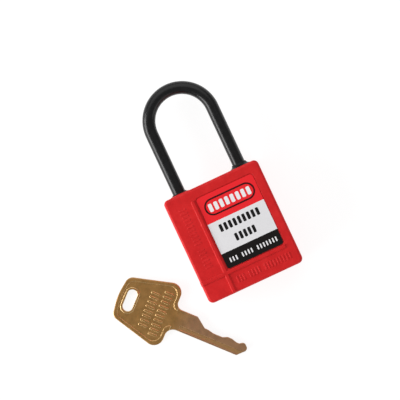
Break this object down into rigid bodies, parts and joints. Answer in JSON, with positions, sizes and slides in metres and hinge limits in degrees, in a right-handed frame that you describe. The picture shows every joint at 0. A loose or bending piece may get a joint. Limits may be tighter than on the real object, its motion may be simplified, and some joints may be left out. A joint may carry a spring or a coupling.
{
  "type": "safety padlock",
  "caption": "Dielectric safety padlock: square moulded body with a long slim black shackle and a front label, and its key.",
  "frame": {"origin": "centre of the padlock body's flat back face, which it lies on", "axes": "+X across the body to the right when looking at the label, +Y from the keyhole end towards the shackle, +Z out of the label face"},
  "size_m": [0.0816, 0.1142, 0.02],
  "materials": {
    "body_nylon": "satin moulded red nylon",
    "label": "printed vinyl: red head, white panel, black foot",
    "shackle_nylon": "satin black glass-filled nylon",
    "bush_plastic": "satin black acetal",
    "hard_steel": "ground",
    "ball_steel": "polished bearing steel",
    "spring_steel": "drawn wire and strip",
    "zinc": "die-cast zinc alloy",
    "cylinder_brass": "turned brass",
    "key_brass": "tarnished brass, bright where milled"
  },
  "bodies": {
    "body": {"front_shell": "body_nylon", "rear_shell": "body_nylon", "front_label": "label", "toe_bush": "bush_plastic", "heel_bush": "bush_plastic", "lock_block": "zinc", "cylinder_housing": "cylinder_brass", "chamber_cap": "cylinder_brass", "retaining_pin": "hard_steel", "shackle_spring": "spring_steel", "driver_spring_1": "spring_steel", "driver_spring_2": "spring_steel", "driver_spring_3": "spring_steel", "driver_spring_4": "spring_steel", "driver_spring_5": "spring_steel"},
    "shackle": {"shackle": "shackle_nylon"},
    "plug": {"plug": "cylinder_brass", "plug_clip": "spring_steel", "actuator": "zinc"},
    "toe_ball": {"toe_ball": "ball_steel"},
    "heel_ball": {"heel_ball": "ball_steel"},
    "driver_1": {"driver_pin_1": "cylinder_brass"},
    "key_pin_1": {"key_pin_1": "cylinder_brass"},
    "driver_2": {"driver_pin_2": "cylinder_brass"},
    "key_pin_2": {"key_pin_2": "cylinder_brass"},
    "driver_3": {"driver_pin_3": "cylinder_brass"},
    "key_pin_3": {"key_pin_3": "cylinder_brass"},
    "driver_4": {"driver_pin_4": "cylinder_brass"},
    "key_pin_4": {"key_pin_4": "cylinder_brass"},
    "driver_5": {"driver_pin_5": "cylinder_brass"},
    "key_pin_5": {"key_pin_5": "cylinder_brass"},
    "key": {"key": "key_brass"}
  },
  "joints": [
    {"name": "shackle_lift", "type": "slide", "parent": "body", "child": "shackle", "axis": [0, 1, 0], "range_m": [0, 0.012], "deforming": ["shackle_spring"]},
    {"name": "plug_turn", "type": "hinge", "parent": "body", "child": "plug", "pos_m": [0, -0.02, 0.00975], "axis": [0, 1, 0], "range_deg": [0, 90]},
    {"name": "toe_ball_slide", "type": "slide", "parent": "body", "child": "toe_ball", "axis": [-1, 0, 0], "range_m": [0, 0.00115]},
    {"name": "heel_ball_slide", "type": "slide", "parent": "body", "child": "heel_ball", "axis": [1, 0, 0], "range_m": [0, 0.00115]},
    {"name": "driver_slide_1", "type": "slide", "parent": "body", "child": "driver_1", "axis": [-1, 0, 0], "range_m": [0, 0.0012], "stiffness_N_per_m": 60, "springref_m": -0.003, "deforming": ["driver_spring_1"]},
    {"name": "driver_slide_2", "type": "slide", "parent": "body", "child": "driver_2", "axis": [-1, 0, 0], "range_m": [0, 0.0012], "stiffness_N_per_m": 60, "springref_m": -0.003, "deforming": ["driver_spring_2"]},
    {"name": "driver_slide_3", "type": "slide", "parent": "body", "child": "driver_3", "axis": [-1, 0, 0], "range_m": [0, 0.0012], "stiffness_N_per_m": 60, "springref_m": -0.003, "deforming": ["driver_spring_3"]},
    {"name": "driver_slide_4", "type": "slide", "parent": "body", "child": "driver_4", "axis": [-1, 0, 0], "range_m": [0, 0.0012], "stiffness_N_per_m": 60, "springref_m": -0.003, "deforming": ["driver_spring_4"]},
    {"name": "driver_slide_5", "type": "slide", "parent": "body", "child": "driver_5", "axis": [-1, 0, 0], "range_m": [0, 0.0012], "stiffness_N_per_m": 60, "springref_m": -0.003, "deforming": ["driver_spring_5"]},
    {"name": "key_pin_slide_1", "type": "slide", "parent": "plug", "child": "key_pin_1", "axis": [0, 0, 1], "range_m": [0, 0.0009]},
    {"name": "key_pin_slide_2", "type": "slide", "parent": "plug", "child": "key_pin_2", "axis": [0, 0, 1], "range_m": [0, 0.0009]},
    {"name": "key_pin_slide_3", "type": "slide", "parent": "plug", "child": "key_pin_3", "axis": [0, 0, 1], "range_m": [0, 0.0009]},
    {"name": "key_pin_slide_4", "type": "slide", "parent": "plug", "child": "key_pin_4", "axis": [0, 0, 1], "range_m": [0, 0.0009]},
    {"name": "key_pin_slide_5", "type": "slide", "parent": "plug", "child": "key_pin_5", "axis": [0, 0, 1], "range_m": [0, 0.0009]},
    {"name": "key_lift", "type": "slide", "parent": "body", "child": "key", "axis": [0, 0, 1], "range_m": [0, 0.04]}
  ],
  "couplings": [
    {"joint": "toe_ball_slide", "follows": "plug_turn", "m_per_rad": 0.00073211},
    {"joint": "heel_ball_slide", "follows": "plug_turn", "m_per_rad": 0.00073211}
  ]
}
